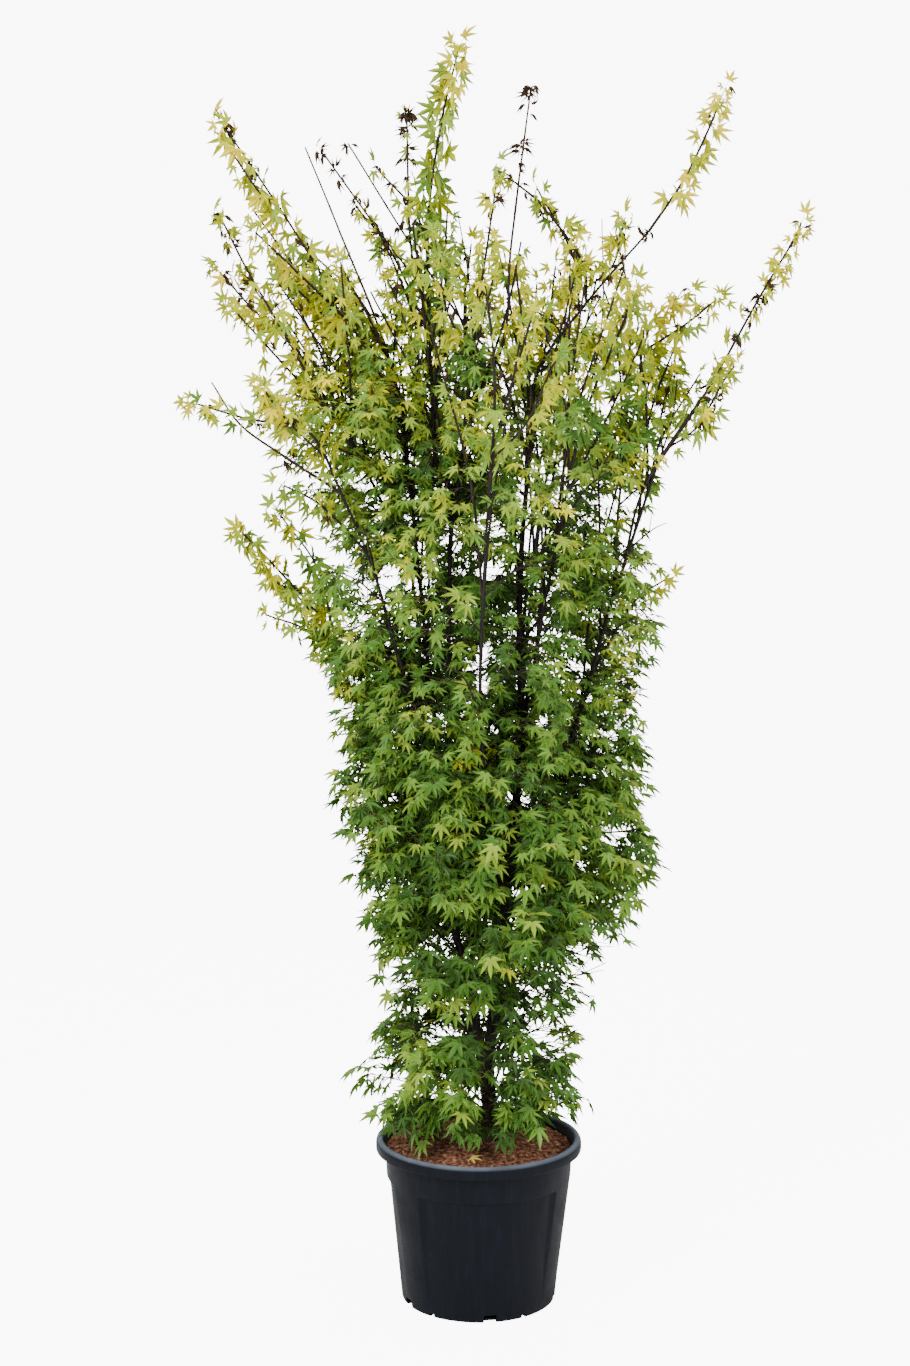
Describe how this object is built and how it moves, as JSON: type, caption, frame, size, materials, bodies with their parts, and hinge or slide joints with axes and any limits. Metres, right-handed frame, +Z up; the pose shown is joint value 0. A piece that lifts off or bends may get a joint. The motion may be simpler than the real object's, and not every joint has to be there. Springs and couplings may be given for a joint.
{
  "type": "potted japanese maple",
  "caption": "Young multi-stemmed Japanese maple with an upright vase of green to gold palmate leaves, in a round dark nursery pot.",
  "frame": {"origin": "middle of the pot's flat underside", "axes": "+Z up the plant, -Y towards the side it is usually looked at from, +X to that viewer's right"},
  "size_m": [1.2271, 0.9504, 2.5026],
  "materials": {
    "pot_plastic": "matte moulded plastic, near-black with a blue cast",
    "bark_compost": "loose reddish-brown bark and peat",
    "old_bark": "smooth dark brown bark",
    "young_bark": "smooth olive bark",
    "whip_bark": "smooth reddish-brown young bark",
    "gold_leaves": "satin leaf, yellow-green to gold",
    "green_leaves": "satin leaf, mid to deep green"
  },
  "bodies": {
    "root": {"pot": "pot_plastic", "soil": "bark_compost", "trunk": "old_bark", "right_stem": "old_bark", "left_stem": "old_bark", "centre_bough": "old_bark", "leader": "old_bark", "left_bough": "old_bark", "upper_left_bough": "old_bark", "outer_left_bough": "old_bark", "low_left_bough": "old_bark", "fore_bough": "old_bark", "right_bough": "old_bark", "olive_bough": "young_bark", "right_arch": "old_bark", "back_right_bough": "old_bark", "back_left_bough": "old_bark", "front_bough": "old_bark", "left_whip": "whip_bark", "crossing_whip": "whip_bark", "upright_whip": "whip_bark", "low_left_whip": "whip_bark", "crown_tip": "gold_leaves", "dry_shoots": "gold_leaves", "left_tip_shoot": "gold_leaves", "left_outer_shoot": "gold_leaves", "left_level_shoot": "gold_leaves", "low_left_shoot": "gold_leaves", "far_right_shoot": "gold_leaves", "right_arch_tip": "gold_leaves", "right_fan": "gold_leaves", "right_feathers": "gold_leaves", "fore_shoot": "gold_leaves", "centre_shoot": "gold_leaves", "back_right_shoot": "gold_leaves", "back_left_shoot": "gold_leaves", "front_shoot": "gold_leaves", "trunk_spray_1": "green_leaves", "trunk_spray_2": "green_leaves", "trunk_spray_3": "green_leaves", "trunk_spray_4": "green_leaves", "trunk_spray_5": "green_leaves", "right_stem_spray_1": "green_leaves", "right_stem_spray_2": "green_leaves", "right_stem_spray_3": "green_leaves", "right_stem_spray_4": "green_leaves", "right_stem_spray_5": "green_leaves", "left_stem_spray_1": "green_leaves", "left_stem_spray_2": "green_leaves", "left_stem_spray_3": "green_leaves", "left_stem_spray_4": "green_leaves", "right_bough_spray_1": "green_leaves", "right_bough_spray_2": "green_leaves", "fore_bough_spray_1": "green_leaves", "front_bough_spray_1": "green_leaves", "back_right_bough_spray_1": "green_leaves", "back_right_bough_spray_2": "green_leaves", "back_left_bough_spray_1": "green_leaves", "outer_left_bough_spray_1": "green_leaves"}
  },
  "joints": []
}
